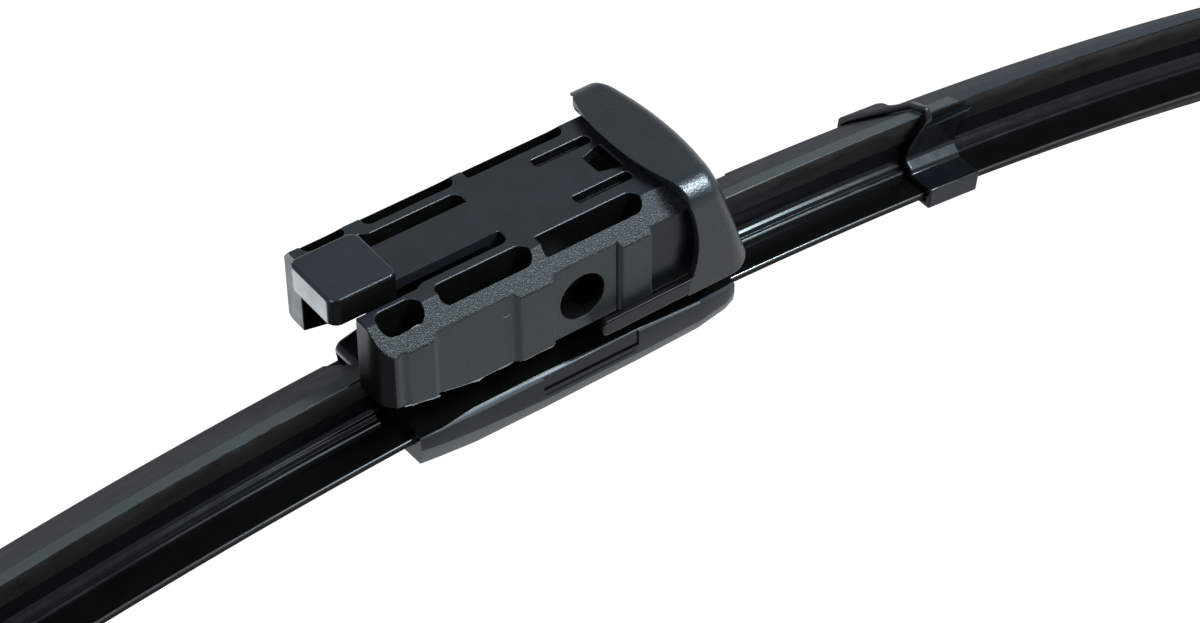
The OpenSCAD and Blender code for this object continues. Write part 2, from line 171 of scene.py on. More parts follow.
sample = prism("sample", square, 0, 1)
print("a prism over that square has", len(sample.data.polygons), "faces")
bpy.data.objects.remove(sample)

# %% [markdown]
# The pockets and windows could be drawn into each mesh by hand. Cutting them out with exact booleans
# is closer to how the mould forms them, and each cut stays one line that can be moved or resized.

# %% Cutting
def settle(piece):
    """Bakes a piece's modifiers into its mesh."""
    bpy.context.view_layer.update()
    done = bpy.data.meshes.new_from_object(piece.evaluated_get(bpy.context.evaluated_depsgraph_get()))
    piece.modifiers.clear()
    piece.data = done
    return piece


def combine(piece, operation, *others):
    """Cuts, joins or crosses a piece with others, which are used up."""
    for other in others:
        step = piece.modifiers.new("combine", "BOOLEAN")
        step.operation, step.solver, step.object = operation, "EXACT", other
        settle(piece)
        bpy.data.objects.remove(other)
    return piece


def cut(piece, *others):
    return combine(piece, "DIFFERENCE", *others)


def span(side, inner, outer):
    """Two distances from the middle, as low and high on the side -1 or 1."""
    return sorted((side * inner, side * outer))


print("on the near side, 1 to 2 mm out is", span(-1, 1, 2))

# %% [markdown]
# A boolean leaves knife-sharp edges, which no moulding has, so every piece is then softened: each
# edge gets a bevel of its own width. One bevel for the whole piece would be simpler, but the rims of
# the pockets catch the light, and they matter more for the likeness than any colour.

# %% Softening
MERGE, SLIVER = 2e-3, 1e-3
SAME_PLANE = math.radians(0.4)
INNER_SHARE = 0.6


def soften(piece, width=0.12, rule=None, segments=3, sharp=24):
    """Bevels each edge sharper than an angle. rule(middle, turn, convex) may return another width."""
    bm = bmesh.new()
    bm.from_mesh(piece.data)
    bmesh.ops.remove_doubles(bm, verts=bm.verts, dist=MERGE)
    bmesh.ops.dissolve_degenerate(bm, edges=bm.edges, dist=SLIVER)
    bmesh.ops.dissolve_limit(bm, angle_limit=SAME_PLANE, verts=bm.verts, edges=bm.edges)
    bm.normal_update()
    widths = {}
    for edge in bm.edges:
        if len(edge.link_faces) != 2:
            continue
        turn = math.degrees(edge.calc_face_angle(0))
        if turn < sharp:
            continue
        middle = (edge.verts[0].co + edge.verts[1].co) / 2
        own = rule(middle, turn, edge.is_convex) if rule else None
        widths[edge.index] = (width if edge.is_convex else width * INNER_SHARE) if own is None else own
    bm.to_mesh(piece.data)
    bm.free()
    widest = max(widths.values(), default=0)
    if widest <= 0:
        return piece
    weight = piece.data.attributes.new("bevel_weight_edge", "FLOAT", "EDGE")
    for index, own in widths.items():
        weight.data[index].value = own / widest
    bevel = piece.modifiers.new("soften", "BEVEL")
    bevel.limit_method, bevel.width, bevel.segments = "WEIGHT", widest, segments
    bevel.use_clamp_overlap, bevel.miter_outer = False, "MITER_ARC"
    return settle(piece)


print("inner corners are", INNER_SHARE, "as wide as outer ones")

# %% [markdown]
# Every piece is handed over in the same way, so that none is forgotten. It is scaled to metres and
# shaded smooth with its sharp edges kept, and then it gets its finishes and, if it has one, its body.
# One piece may have several finishes. `paint` picks one for each face, by where the face is and which
# way it looks.

# %% Handing over
def paint(piece, choose):
    """choose(normal, centre) gives the place of a face's finish in the piece's list."""
    for polygon in piece.data.polygons:
        polygon.material_index = choose(polygon.normal, polygon.center)


def finish_piece(piece, body, slot_name, materials, *nodes, angle=40):
    """Scales a piece to metres, shades it and hands it to its body, or to none."""
    piece.data.transform(Matrix.Scale(MM, 4))
    for polygon in piece.data.polygons:
        polygon.use_smooth = True
    piece.data.set_sharp_from_angle(angle=math.radians(angle))
    for material in materials:
        piece.data.materials.append(material)
    weighted = piece.modifiers.new("even_shading", "WEIGHTED_NORMAL")
    weighted.keep_sharp = True
    settle(piece)
    if body:
        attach(piece, body)
    if nodes:
        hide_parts(*nodes)
    print(piece.name, len(piece.data.polygons), "faces")


print("pieces are scaled by", MM)

# %% [markdown]
# Along the blade everything follows one arc. A curve modifier could bend straight pieces, but here
# `swept` carries a cross section, drawn as (y, height over the rails), round the arc itself, so each
# height stays exact. A small change along the way can be given as a function, which is how the
# rubber lip gets its slightly ragged edge.

# %% Sweeping along the blade
CURVE_R = 500.0
RAIL_Z = -17.7
HALF = 225.0


def on_arc(s, y, h):
    """The place at arc length s, across the blade y and over the rails h."""
    a = s / CURVE_R
    return ((CURVE_R + h) * math.sin(a), y, RAIL_Z - CURVE_R + (CURVE_R + h) * math.cos(a))


def swept(name, section, start, end, step=1.5, change=None):
    """A section carried along the arc. change(s, y, h) may move its points on the way."""
    count = max(2, int(abs(end - start) / step))
    rings = []
    for k in range(count + 1):
        s = start + (end - start) * k / count
        rings.append([on_arc(s, *(change(s, y, h) if change else (y, h))) for y, h in section])
    return loft(name, rings)


print("the blade's end is at", tuple(round(c, 1) for c in on_arc(HALF, 0, 0)), "mm")

# %% [markdown]
# All the finishes are dark and close to each other, so they differ mostly in their grain. Each could
# have nodes of its own, but one node group makes the moulded skin for all: a soft mottle that moves
# the colour and the roughness a little, a few pale flecks of painted glint, and a fine grain for the
# bump.

# %% Skin group
SKIN_INPUTS = {"Deep": (0.02, 0.022, 0.024, 1), "Pale": (0.03, 0.033, 0.036, 1), "Mottle Scale": 0.35,
               "Grain Scale": 6.0, "Speckle": 0.0, "Rough Low": 0.4, "Rough High": 0.55}
# The pale fleck colour below paints glints, the specks where a grainy face would catch the light.
GLINT_FLECK = (0.18, 0.19, 0.19, 1)
GLINT_RANGE, MOTTLE_RANGE = (0.54, 0.68), (0.3, 0.7)


def skin_group():
    """An empty group: two colours and five values go in; colour, roughness and height come out."""
    group = bpy.data.node_groups.new("moulded_skin", "ShaderNodeTree")
    for name, value in SKIN_INPUTS.items():
        kind = "NodeSocketColor" if isinstance(value, tuple) else "NodeSocketFloat"
        socket = group.interface.new_socket(name, in_out="INPUT", socket_type=kind)
        socket.default_value = value
    for name, kind in (("Color", "NodeSocketColor"), ("Roughness", "NodeSocketFloat"),
                       ("Height", "NodeSocketFloat")):
        group.interface.new_socket(name, in_out="OUTPUT", socket_type=kind)
    return group


SKIN = skin_group()
print("skin group:", [item.name for item in SKIN.interface.items_tree])

# %% [markdown]
# The patterns are three noises in millimetres of the object's own space, so they ride with a moving
# piece and stay the same from every side. The mottle mixes the two colours, and only the peaks of
# the second noise show, as pale flecks: painted glints like those a spark-eroded face throws in the
# light.

# %% Skin nodes
def blend_colors(nodes):
    blend = nodes.new("ShaderNodeMix")
    blend.data_type = "RGBA"
    return blend


def from_range(nodes, low_high):
    spread = nodes.new("ShaderNodeMapRange")
    spread.inputs["From Min"].default_value, spread.inputs["From Max"].default_value = low_high
    return spread


def fill_skin(group):
    nodes, links = group.nodes, group.links
    enter, leave = nodes.new("NodeGroupInput"), nodes.new("NodeGroupOutput")
    where, to_mm = nodes.new("ShaderNodeTexCoord"), nodes.new("ShaderNodeVectorMath")
    to_mm.operation = "SCALE"
    to_mm.inputs["Scale"].default_value = 1 / MM
    links.new(where.outputs["Object"], to_mm.inputs[0])
    mottle, grain, glint_noise = (nodes.new("ShaderNodeTexNoise") for _ in range(3))
    for node, detail, scale in ((mottle, 4, "Mottle Scale"), (grain, 3, "Grain Scale"),
                                (glint_noise, 1, "Grain Scale")):
        node.inputs["Detail"].default_value = detail
        links.new(to_mm.outputs["Vector"], node.inputs["Vector"])
        links.new(enter.outputs[scale], node.inputs["Scale"])
    blend, bright = blend_colors(nodes), blend_colors(nodes)
    links.new(mottle.outputs["Fac"], blend.inputs["Factor"])
    links.new(enter.outputs["Deep"], blend.inputs["A"])
    links.new(enter.outputs["Pale"], blend.inputs["B"])
    # The fleck noise's peaks, scaled by Speckle, mix in the pale colour as painted glints.
    peaks, amount = from_range(nodes, GLINT_RANGE), nodes.new("ShaderNodeMath")
    links.new(glint_noise.outputs["Fac"], peaks.inputs["Value"])
    amount.operation = "MULTIPLY"
    links.new(peaks.outputs["Result"], amount.inputs[0])
    links.new(enter.outputs["Speckle"], amount.inputs[1])
    bright.inputs["B"].default_value = GLINT_FLECK
    links.new(amount.outputs["Value"], bright.inputs["Factor"])
    links.new(blend.outputs["Result"], bright.inputs["A"])
    links.new(bright.outputs["Result"], leave.inputs["Color"])
    rough = from_range(nodes, MOTTLE_RANGE)
    links.new(mottle.outputs["Fac"], rough.inputs["Value"])
    links.new(enter.outputs["Rough Low"], rough.inputs["To Min"])
    links.new(enter.outputs["Rough High"], rough.inputs["To Max"])
    links.new(rough.outputs["Result"], leave.inputs["Roughness"])
    links.new(grain.outputs["Fac"], leave.inputs["Height"])


fill_skin(SKIN)
print("skin nodes:", len(SKIN.nodes))

# %% [markdown]
# Black plastic and rubber look grey in a white studio because they mirror it. So each finish is
# nearly black, and its specular level sets how much of the room it shows. The mirrored light is
# tinted a little towards blue, a painted tint for the cool light that the real mouldings mirror.

# %% Finishes
# COOL_TINT is the painted blue tint of the mirrored light.
COOL_TINT, NO_TINT = (0.8, 0.91, 1, 1), (1, 1, 1, 1)
BUMP_DEPTH = 0.00005


def shade(*rgb):
    """A colour picked on screen, as the linear values that the shader wants."""
    linear = (c / 255 / 12.92 if c <= 10.31 else ((c / 255 + 0.055) / 1.055) ** 2.4 for c in rgb)
    return (*linear, 1)


def finish(name, deep, pale, bump, specular, grain, rough, metallic=0.0, speckle=0.0):
    """A material from two screen colours, bump, specular level, grain scale and a roughness range."""
    material = bpy.data.materials.new(name)
    material.use_nodes = True
    nodes, links = material.node_tree.nodes, material.node_tree.links
    shader = nodes["Principled BSDF"]
    skin, ripple = nodes.new("ShaderNodeGroup"), nodes.new("ShaderNodeBump")
    skin.node_tree = SKIN
    for key, value in (("Deep", shade(*deep)), ("Pale", shade(*pale)), ("Grain Scale", grain),
                       ("Rough Low", rough[0]), ("Rough High", rough[1]), ("Speckle", speckle)):
        skin.inputs[key].default_value = value
    ripple.inputs["Strength"].default_value = bump
    ripple.inputs["Distance"].default_value = BUMP_DEPTH
    links.new(skin.outputs["Color"], shader.inputs["Base Color"])
    links.new(skin.outputs["Roughness"], shader.inputs["Roughness"])
    links.new(skin.outputs["Height"], ripple.inputs["Height"])
    links.new(ripple.outputs["Normal"], shader.inputs["Normal"])
    shader.inputs["Metallic"].default_value = metallic
    shader.inputs["Specular IOR Level"].default_value = specular
    shader.inputs["Specular Tint"].default_value = NO_TINT if metallic else COOL_TINT
    material.diffuse_color = shade(*pale)
    return material


print("screen grey 12 is", round(shade(12)[0], 5), "in linear light")

# %% [markdown]
# ## The adapter
# The real adapter is one moulding. Its outside is three prisms that cross: the plan with the raised
# bands, the cross section with the sloped shoulders, and the side view with the rising underside.
# That gives the same edges as the mould's halves and slides, where a box with bevels would not.

# %% Adapter shell
def wall_plan(side):
    """Half of the plan: a curved end, then the flat wall with its raised bands."""
    wall, raised = 9.6, 10.1
    half = [
        (-25.3, 0), (-25.3, 7.3), (-25.22, 8.0), (-25.05, 8.65), (-24.75, 9.2), (-24.35, 9.62),
        (-23.85, 9.95), (-23.45, 10.08), (-23.2, 9.98), (-22.95, 9.9), (-22.6, 9.9), (-22.3, 10.02),
        (-22.0, 10.1), (-19.1, raised), (-18.75, 9.98), (-18.5, 9.72), (-18.2, wall), (-9.0, wall),
        (-8.7, 9.72), (-8.45, 9.98), (-8.1, raised), (-3.9, raised), (-3.86, wall), (4.48, wall),
        (4.56, 9.38), (4.66, wall), (4.95, raised), (8.8, raised), (8.9, wall), (15.5, wall), (15.5, 0)]
    return [(x, side * y) for x, y in half]


def adapter_shell():
    near, far = wall_plan(-1), wall_plan(1)
    shell = prism("adapter", near[1:-1] + far[-2:0:-1], -14, 2, "z")
    # The shoulders fall 2.56 mm over a width of 2.3 mm.
    slope = 2.56 / 2.3
    drop = slope * 3.7
    section = [(-7.3, 0), (-11, -drop), (-11, -20), (11, -20), (11, -drop), (7.3, 0)]
    side = [(-27, 1), (17, 1), (17, -12), (-13.5, -12), (-15, -11.85), (-25.3, -9.6), (-27, -9.4)]
    return combine(shell, "INTERSECT", prism("section", section, -27, 17, "x"),
                   prism("side", side, -12, 12, "y"))


adapter = adapter_shell()
print("shell", len(adapter.data.polygons), "faces")

# %% [markdown]
# Inside, the adapter is an open channel, and the tongue hangs free in a window of its top plate. The
# channel is cut lengthwise below the plate, and the window from above.

# %% Channel and window
PLATE_UNDER = -1.4
CHANNEL, BAY = 4.8, 5.3
BAY_END = -17.8
TONGUE_HALF, TONGUE_ROOT = 2.94, -6.1


def tongue_window():
    half = [(-27, -BAY), (BAY_END, -BAY, 0.4), (-16.9, -CHANNEL, 0.4), (-5.87, -CHANNEL, 0.92),
            (-5.87, -TONGUE_HALF, 0.92), (TONGUE_ROOT, -TONGUE_HALF)]
    return prism("tongue_window", rounded(half + [(x, -y, *r) for x, y, *r in half[::-1]]), -3, 2, "z")


inside = rounded([(-27, PLATE_UNDER), (14.2, PLATE_UNDER, 0.5), (14.2, -4, 0.1), (17, -4), (17, -14),
                  (-27, -14)])
cut(adapter, prism("channel", inside, -CHANNEL, CHANNEL, "y"))
cut(adapter, prism("bay", [(-27, -2), (BAY_END, -2), (BAY_END, -14), (-27, -14)], -BAY, BAY, "y"))
cut(adapter, tongue_window())
print("with the channel", len(adapter.data.polygons), "faces")

# %% [markdown]
# The pockets keep the moulding's walls thin and even, so that it cools without sinking. The latch
# hole goes through the plate, and the side holes show the pivot. The two vents stop just short of
# the plate's underside, because the photograph shows nothing but black in them.

# %% Pockets and holes
PIVOT_Z = -7.6
POCKETS = ((-24.0, -18.65, 1.4, 1.2, 8.6, -9.0), (-16.5, -5.0, 0.9, 1.25, 8.3, -10.8),
           (-3.6, 9.25, 0.3, 1.15, 8.3, -10.8))


def slot_outline(x0, x1, y0, y1, left, right):
    """A slot from above, with one radius for its left corners and one for its right ones."""
    return rounded([(x0, y0, left), (x1, y0, right), (x1, y1, right), (x0, y1, left)])


for side in (-1, 1):
    for x0, x1, left, right, outer, bottom in POCKETS:
        outline = slot_outline(x0, x1, *span(side, 5.95, outer), left, right)
        cut(adapter, prism("pocket", outline, bottom, 2, "z"))
    vent = slot_outline(3.3, 10.7, *span(side, 3.06, 4.4), 0.35, 0.55)
    cut(adapter, prism("vent", vent, -1.2, 2, "z"))
    cut(adapter, prism("side_hole", circle(0, PIVOT_Z, 2.85), *span(side, 7.9, 12), "y"))
latch = [(8.15, -1.4, 0.15), (10.2, -2.05, 0.15), (10.95, -2.1, 0.15), (10.95, 2.1, 0.15),
         (10.2, 2.05, 0.15), (8.15, 1.4, 0.15)]
cut(adapter, prism("latch", rounded(latch), -3, 2, "z"))
cut(adapter, prism("pin_bore", circle(0, PIVOT_Z, 2.55), -7, 7, "y"))
print("cut", len(adapter.data.polygons), "faces")

# %% [markdown]
# The sloped shoulders are spark-eroded in the mould and come out grainy, while the plate and the
# walls are smoother. All of them are one piece of plastic, so they are faces of one mesh with
# different finishes, and not pieces set side by side. The near-black finish inside is painted shade,
# and the darker one on the wall's end by the shroud is a painted shadow.

# %% Adapter edges and finishes
plate_skin = finish("plate_skin", (6, 8, 11), (13, 16, 20), 0.2, 0.22, 9.0, (0.3, 0.4))
# The shoulders' speckle adds pale flecks of painted glint over their grain.
sparkle_skin = finish("sparkle_skin", (9, 11, 12), (18, 21, 22), 1.3, 0.08, 6.0, (0.26, 0.36),
                      speckle=0.08)
wall_skin = finish("wall_skin", (5, 8, 9), (12, 15, 17), 0.6, 0.31, 6.0, (0.34, 0.46))
# The near-black recess finish is painted shade, for recesses and for faces that lie in shade.
painted_shade_skin = finish("painted_shade_skin", (2, 2, 2), (5, 5, 5), 0.2, 0.05, 5.0, (0.3, 0.4))
base_skin = finish("base_skin", (2, 3, 4), (5, 8, 10), 0.1, 0.18, 6.0, (0.2, 0.28))
PLATE, SHOULDER, WALL, SHADE_PAINTED, SHROUD_SHADOW = range(5)


def adapter_edges(middle, turn, convex):
    """No bevel where the tongue's root joins the plate, a small one inside, wider ones on the rims."""
    if abs(middle.x - TONGUE_ROOT) < 0.05 and abs(middle.y) < TONGUE_HALF + 0.01:
        return 0.0
    if not convex:
        return 0.05
    if middle.z > -0.02:
        return 0.14
    return 0.2 if abs(middle.y) > 9.3 and turn < 60 else 0.13


def adapter_finish(n, c):
    """Painted shade darkens the recesses, the hole's wall and the shaded left end, a painted shadow the
    wall's end by the shroud; sloped faces are grainy, the rest smooth.
    """
    within = c.z < -0.3 and abs(c.y) < 8.65 and -24.2 < c.x < 15.4
    hole = math.hypot(c.x, c.z - PIVOT_Z) < 2.9 and abs(n.y) < 0.5
    bend = n.x < -0.45 and c.x < -23.4 and c.y < 0
    if within or hole or bend:
        return SHADE_PAINTED
    if 0.35 < n.z < 0.93 and abs(n.y) > 0.3 and abs(c.y) > 7.2 and c.z < -0.03:
        return SHOULDER
    # The wall's end beside the shroud takes the darker base finish as a painted shadow of the shroud.
    if c.x > 9.9 and abs(n.y) > 0.9 and abs(c.y) > 9.2:
        return SHROUD_SHADOW
    return WALL if abs(n.z) < 0.5 else PLATE


soften(adapter, 0.13, adapter_edges)
paint(adapter, adapter_finish)
finish_piece(adapter, "adapter", "adapter_plastic",
             [plate_skin, sparkle_skin, wall_skin, painted_shade_skin, base_skin], "adapter_body")

# %% [markdown]
# Where the mould halves meet, a little plastic squeezes out. It stays as thin flash along the
# lower edge of the walls, on one pocket's rim, and as one small curl on the near wall. Its pale colour
# is a painted highlight for the light its thin edges catch. A bump would
# not break the wall's outline, so the flash is real strips, with noise for their depth.

# %% Flash strips
# The flash's pale colour is a painted highlight for the light its thin edges catch.
flash_highlight_skin = finish("flash_highlight_skin", (52, 58, 61), (80, 86, 88), 0.3, 0.5, 5.0, (0.3, 0.45))
FLASH_STEP = 0.12
WALL_FLASH = (("flash_near_a", -1, -23.0, -18.6), ("flash_near_b", -1, -17.9, -9.1),
              ("flash_near_c", -1, -8.0, -4.2), ("flash_far_a", 1, -23.0, -18.6),
              ("flash_far_b", 1, -17.9, -9.1))


def under(x):
    """The height of the walls' lower edge."""
    if x > -13.5:
        return -12.0
    return -12.0 + (-13.5 - x) * 0.1 if x > -15 else -11.85 + (-15 - x) * 0.2184


def wall_foot(x):
    return (10.02 if x < -18.4 or -8.6 < x < -4 else 9.53), under(x)


def pocket_rim(x):
    return 8.52, -1.75 + 0.2 * math.sin(x * 2.1)


def flash_strip(name, side, start, end, place, most=0.34):
    """A ragged thin strip along x. place(x) gives its y and z on the near side."""
    rings, count = [], int((end - start) / FLASH_STEP)
    for k in range(count + 1):
        x = start + (end - start) * k / count
        y, z = place(x)
        much = max(0.0, noise.noise(Vector((x * 0.55, side * 4, z))) + 0.18) * most
        much *= 0.5 + abs(noise.noise(Vector((x * 3.7, side * 9, z))))
        rings.append([(x, side * (y + dy), z + dz)
                      for dy, dz in ((0.0, 0.1), (0.05, 0.02), (0.02, -much - 0.01), (-0.06, 0.05))])
    return loft(name, rings)


for name, side, start, end in WALL_FLASH:
    strip = flash_strip(name, side, start, end, wall_foot)
    finish_piece(strip, "adapter", "adapter_plastic", [flash_highlight_skin])
rim_strip = flash_strip("flash_pocket", -1, -22.8, -19.4, pocket_rim, 0.9)
finish_piece(rim_strip, "adapter", "adapter_plastic", [flash_highlight_skin])

# %% [markdown]
# The curl is a sliver that bends away from the near wall. It is so small that an arc with a little
# thickness says enough.

# %% Flash curl
angles = [math.radians(200 + 150 * k / 12) for k in range(13)]
curl = [(-9.75 + 0.45 * math.cos(a), -4.85 + 0.3 * math.sin(a)) for a in angles]
curl += [(x, z + 0.05) for x, z in curl[::-1]]
finish_piece(prism("flash_curl", curl, -9.63, -9.57, "y"), "adapter", "adapter_plastic", [flash_highlight_skin])

# %% [markdown]
# ## Tongue and button
# The tongue is part of the top plate and bends at its root on the real blade, so it ends exactly
# where the plate's window ends. It has a row of rings near the root, because a mesh can bend only
# where it has points.

# %% Release tongue
BENDING = [-9.6 + 0.35 * k for k in range(10)]


def tongue_edges(middle, turn, convex):
    return 0.0 if middle.x > -6.2 or middle.x < -19.5 else 0.12


section = [(-TONGUE_HALF, 0), (TONGUE_HALF, 0), (TONGUE_HALF, PLATE_UNDER), (-TONGUE_HALF, PLATE_UNDER)]
tongue = loft("tongue", [[(x, y, z) for y, z in section] for x in [-20.0, *BENDING, TONGUE_ROOT]])
soften(tongue, 0.12, tongue_edges, segments=2)
finish_piece(tongue, None, "adapter_plastic", [plate_skin])
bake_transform(tongue)

# %% [markdown]
# The button is a thick pad on the tongue's free end. It is polished where the thumb presses, and its
# near side lies in the adapter's shade. A prism with rounded corners and a wide bevel on top is all
# it takes.

# %% Button
button_skin = finish("button_skin", (6, 9, 12), (14, 18, 23), 0.05, 0.26, 5.0, (0.16, 0.28))
plan = rounded([(-27.3, -4.15, 1.2), (-27.3, 4.15, 1.0), (-19.1, 4.15, 1.2), (-19.1, -4.15, 1.0)])
button = prism("button", plan, -1.3, 2.1, "z")
soften(button, 0.42, lambda middle, turn, convex: 0.42 if middle.z > 2 else 0.12, segments=5, sharp=40)
# The button's near side takes the near-black finish as painted shade.
paint(button, lambda n, c: 1 if n.y < -0.6 else 0)
finish_piece(button, "tongue", "adapter_plastic", [button_skin, painted_shade_skin], "release_tongue")

# %% [markdown]
# ## Shroud
# The shroud is a thin shell that hides the arm's end. Its back edges are rounded widely because that
# is where a hand grips it. A bevel that wide would fold over itself, so the outside is a row of
# rings that close in towards the back.

# %% Shroud rings
TOP, LOW, WIDE = 1.5, -13.4, 11.3
CORNER, SIDE_Z = 4.3, -7
BACK_ROUND, FOOT_LIFT, FOOT_Z = 1.3, 3.0, -10.4
BACK_X, BACK_LEAN, BOW, BOW_R = 18.6, 0.354, 1.06, 45
CENTRE_Z = -5.5


def ring(shrink, lift):
    """The shroud's outline seen from the end, smaller by shrink all round and by lift at the bottom."""
    w, top, low = WIDE - shrink, TOP - shrink, LOW + lift
    across = [w * k / 6 for k in range(-3, 4)]
    left = [(-w, low, 0.3), (-w, SIDE_Z), (-w, top, CORNER - shrink)]
    right = [(w, top, CORNER - shrink), (w, SIDE_Z), (w, low, 0.3)]
    return rounded(left + [(y, top) for y in across] + right + [(y, low) for y in across[::-1]], 14)


def back_at(y, z):
    """The back leans outwards towards the bottom and is bowed from side to side."""
    return BACK_X - BACK_LEAN * z - BOW * (BOW_R - math.sqrt(BOW_R * BOW_R - y * y))


def shroud_rings():
    """Rings from the front to the back edge, over its rounding and in to the middle of the back."""
    rings = [[(5, y, z) for y, z in ring(0, 0)]]
    for k in range(9):
        a = math.radians(90 * k / 8)
        ahead, inwards = 1 - math.sin(a), 1 - math.cos(a)
        rings.append([(back_at(y, z) - (BACK_ROUND + max(0, FOOT_Z - z) * 0.5) * ahead, y, z)
                      for y, z in ring(BACK_ROUND * inwards, FOOT_LIFT * inwards)])
    for f in (0.85, 0.7, 0.55, 0.4, 0.25, 0.1):
        flat = [(y * f, CENTRE_Z + (z - CENTRE_Z) * f) for y, z in ring(BACK_ROUND, FOOT_LIFT)]
        rings.append([(back_at(y, z), y, z) for y, z in flat])
    return rings


shroud = loft("shroud", shroud_rings())
print("shroud block", len(shroud.data.polygons), "faces")

# %% [markdown]
# The shroud's front edge is an S seen from the side, and the photograph shows its far corner set back
# further than the near one. The front is crossed with a side view, and then the hollow, the open
# underside, the bowed rim and the far corner are cut.

# %% Shroud front and hollow
SHROUD_IN = 10.4
FRONT = [(10.7, 3), (27, 3), (27, -15), (12.9, -15), (12.9, -11.5), (13.5, -10.8), (13.95, -9.2),
         (14.15, -7.6), (14.1, -5.8), (13.75, -3.6), (13.3, -1.8), (13.0, -1.0), (12.6, 0), (10.7, 1.5)]
FAR_FRONT = [(10, 3), (12.45, 1.6), (12.55, 1.2), (13.35, 0.28), (13.95, -0.45), (14.5, -1.22),
             (15.3, -2.8), (15.7, -4.2), (15.4, -5.6), (14.1, -7.2), (10, -7.2)]
combine(shroud, "INTERSECT", prism("side", FRONT, -14, 14, "y"))
hollow = [(-SHROUD_IN, -15), (-SHROUD_IN, 0.6, 3.4), (SHROUD_IN, 0.6, 3.4), (SHROUD_IN, -15)]
cut(shroud, prism("hollow", rounded(hollow, 12), 0, 15.5, "x"))
below = [(14.5, -15), (27, -15), (27, -5.2), (14.5, -5.2)]
cut(shroud, prism("below", below, -SHROUD_IN, SHROUD_IN, "y"))
bow = [(0, -12)] + [(10.9 + 0.0172 * y * y, y) for y in range(-12, 13)] + [(0, 12)]
cut(shroud, prism("rim_bow", bow, -1.3, 3, "z"))
cut(shroud, prism("far_rim", FAR_FRONT, 8.9, 12, "y"))
soften(shroud, 0.14, segments=2, sharp=35)
print("shroud shell", len(shroud.data.polygons), "faces")

# %% [markdown]
# Two guide rails run forward from the shroud below the adapter's walls. They are joined on after the
# softening, so that they keep a wider bevel of their own. Their tops lie in shade, which is painted
# on with the near-black finish of painted shade.

# %% Shroud guides
shroud_skin = finish("shroud_skin", (3, 6, 9), (9, 12, 15), 1.0, 0.32, 3.8, (0.27, 0.35))
clip_skin = finish("clip_skin", (2, 3, 5), (6, 9, 11), 0.1, 0.2, 6.0, (0.2, 0.3))
GUIDE = rounded([(1.5, -13.1, 0.6), (14, -13.1), (14, -11.1), (1.5, -11.1, 0.6)])


def shroud_finish(n, c):
    guide = c.x < 12.8 and c.z < -11
    # The guides' tops take the near-black finish as painted shade.
    return (2 if n.z > 0.2 else 1) if guide else 0


for side in (-1, 1):
    guide = prism("guide", GUIDE, *span(side, SHROUD_IN, WIDE), "y")
    soften(guide, 0.22)
    combine(shroud, "UNION", guide)
paint(shroud, shroud_finish)
finish_piece(shroud, "adapter", "shroud_plastic", [shroud_skin, clip_skin, painted_shade_skin], "end_shroud")

# %% [markdown]
# ## Base
# The base clips on the rails and carries the pivot. Its flanges, deck and centre block are one
# moulding. The flange narrows and changes height along its length, so it is a loft over stations.

# %% Base flange
# Stations: x, half width, top, crease half width and height, bottom half width and height.
FLANGE = [(-20.4, 8.6, -17.5, 8.62, -19.2, 8.3, -21.3), (-17.5, 8.8, -17.4, 8.85, -19.5, 8.4, -21.6),
          (-13.5, 8.9, -17.1, 8.92, -19.9, 8.5, -21.95), (-4.6, 8.9, -17.1, 8.95, -20.5, 8.6, -22.0),
          (8.0, 8.9, -17.35, 8.95, -20.6, 8.6, -22.0), (16.5, 8.85, -17.9, 8.88, -20.6, 8.45, -22.0),
          (20.4, 8.6, -18.1, 8.62, -20.2, 8.3, -21.4), (21.8, 8.2, -18.35, 8.2, -19.8, 8.0, -21.0)]


def flange_ring(x, wide, top, crease_wide, crease, foot_wide, foot):
    """A station's ring. The roll along the top edge is broad in the middle and tight at the left."""
    roll = 0.15 if x < -14 else (0.55 if x < 5 else 0.28)
    half = [(wide - 2.5, top + 1.1), (wide - roll, top + 0.1), (wide, top + 0.1 - roll),
            (crease_wide, crease), (foot_wide, foot)]
    low = max(0, -17.0 - x) * 0.28
    return [(x, -y, z) for y, z in half] + [(x, y - low, z - low) for y, z in half[::-1]]


base = loft("base", [flange_ring(*station) for station in FLANGE], ends_last=True)
print("flange stations", len(FLANGE))

# %% [markdown]
# The flange's sides have a shallow panel with a line below it. The centre block turns between the
# adapter's walls, and the seat under the deck is cut with a section swept round the blade's own arc,
# so it fits the rails all along.

# %% Base block and seat
PANEL = [(-4.7, -19.2), (8.0, -19.4), (8.0, -16.4), (-4.7, -16.2)]
LINE = [(-4.5, -19.95), (7.4, -20.1), (7.4, -19.95), (-4.5, -19.8)]
BLOCK_HALF = [(3.2, -4, 1.5), (5.2, -4.9, 1.0), (9.5, -9, 1.0), (22.7, -12.2, 2.2), (22.3, -14.6, 1.0),
              (21.2, -15.6, 0.8), (21.2, RAIL_Z - 0.5)]
SEAT = [(-7.6, -1.0), (-7.6, 0.05), (-2.2, 0.05), (-2.2, 0.95), (2.2, 0.95), (2.2, 0.05), (7.6, 0.05),
        (7.6, -1.0), (5, -1.0), (5, -7), (-5, -7), (-5, -1.0)]
for side in (-1, 1):
    cut(base, prism("panel", PANEL, *span(side, 8.72, 10), "y"))
    cut(base, prism("line", LINE, *span(side, 8.7, 10), "y"))
block_side = rounded([(-x, *rest) for x, *rest in BLOCK_HALF[::-1]] + BLOCK_HALF, 8)
block = prism("block", block_side, -4.5, 4.5, "y")
soften(block, 0.7, segments=5, sharp=60)
combine(base, "UNION", block)
cut(base, swept("seat", SEAT, -26, 26, step=2.5))
cut(base, prism("pivot", circle(0, PIVOT_Z, 2.5), -6, 6, "y"))
print("base", len(base.data.polygons), "faces")

